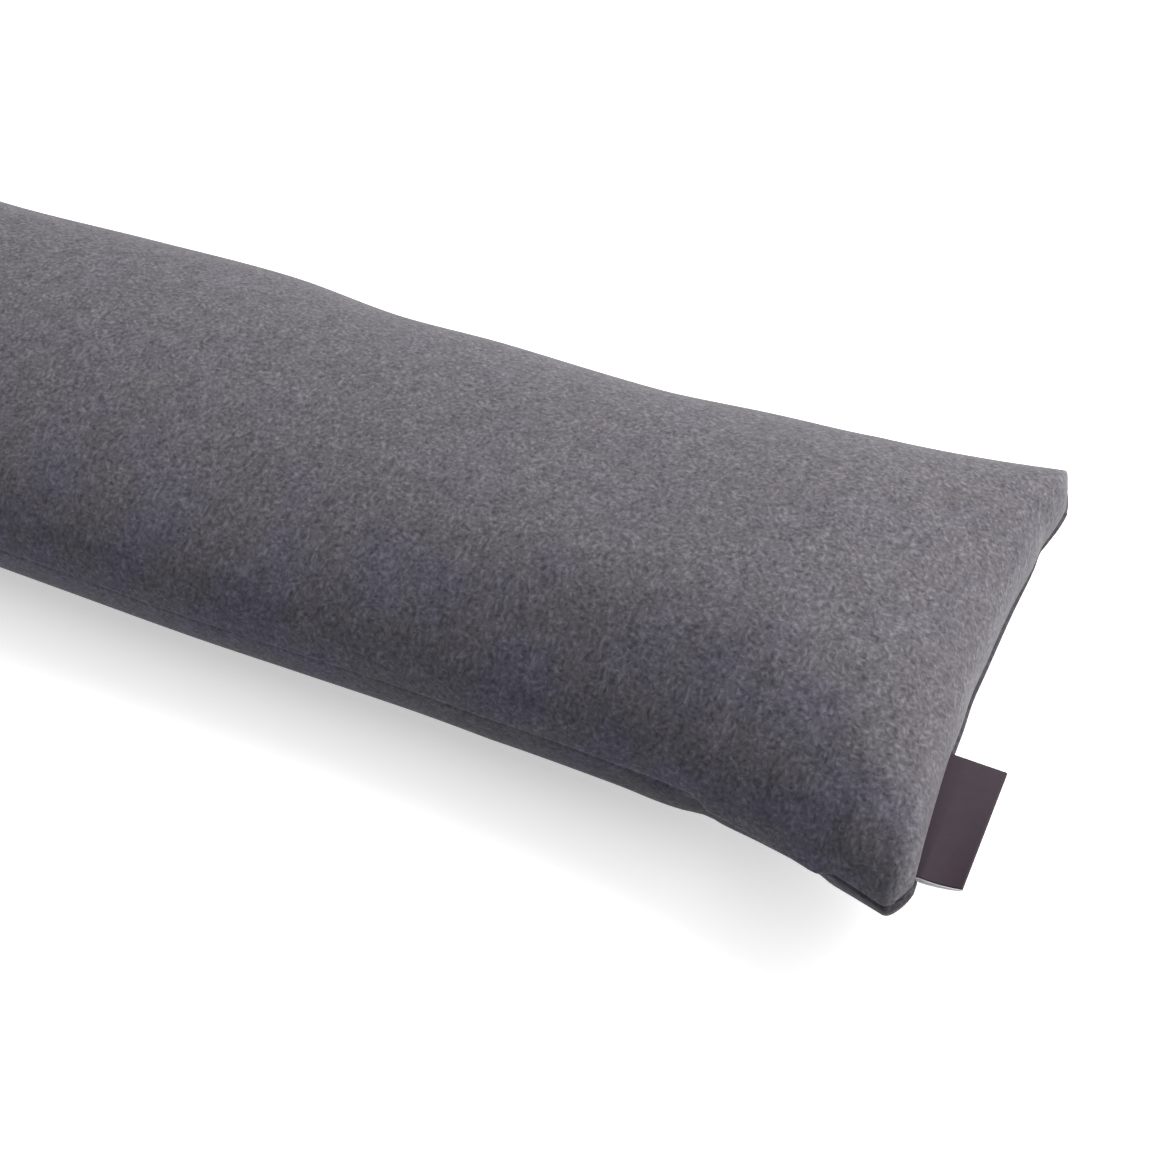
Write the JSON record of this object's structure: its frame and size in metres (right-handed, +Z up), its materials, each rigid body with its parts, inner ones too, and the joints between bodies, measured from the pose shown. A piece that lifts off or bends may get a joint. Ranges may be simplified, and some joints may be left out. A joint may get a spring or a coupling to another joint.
{
  "type": "draught excluder",
  "caption": "Long filled cushion of thick felted grey cloth, folded lengthwise and sewn along a side and across the ends, with a bare ribbon label; lies along a door's foot to stop draughts.",
  "frame": {"origin": "middle of the flat underside, on the surface that the cushion lies on", "axes": "+X along the cushion towards the end that has the label, +Z up, the sewn long side facing -Y and the folded long side +Y"},
  "size_m": [0.9041, 0.2039, 0.0829],
  "materials": {
    "felt": "dense felted cloth with a mottled grey nap, fully matt",
    "ribbon": "dark plum satin ribbon with a soft sheen and a pale reverse"
  },
  "bodies": {
    "root": {"casing": "felt", "label": "ribbon"}
  },
  "joints": []
}
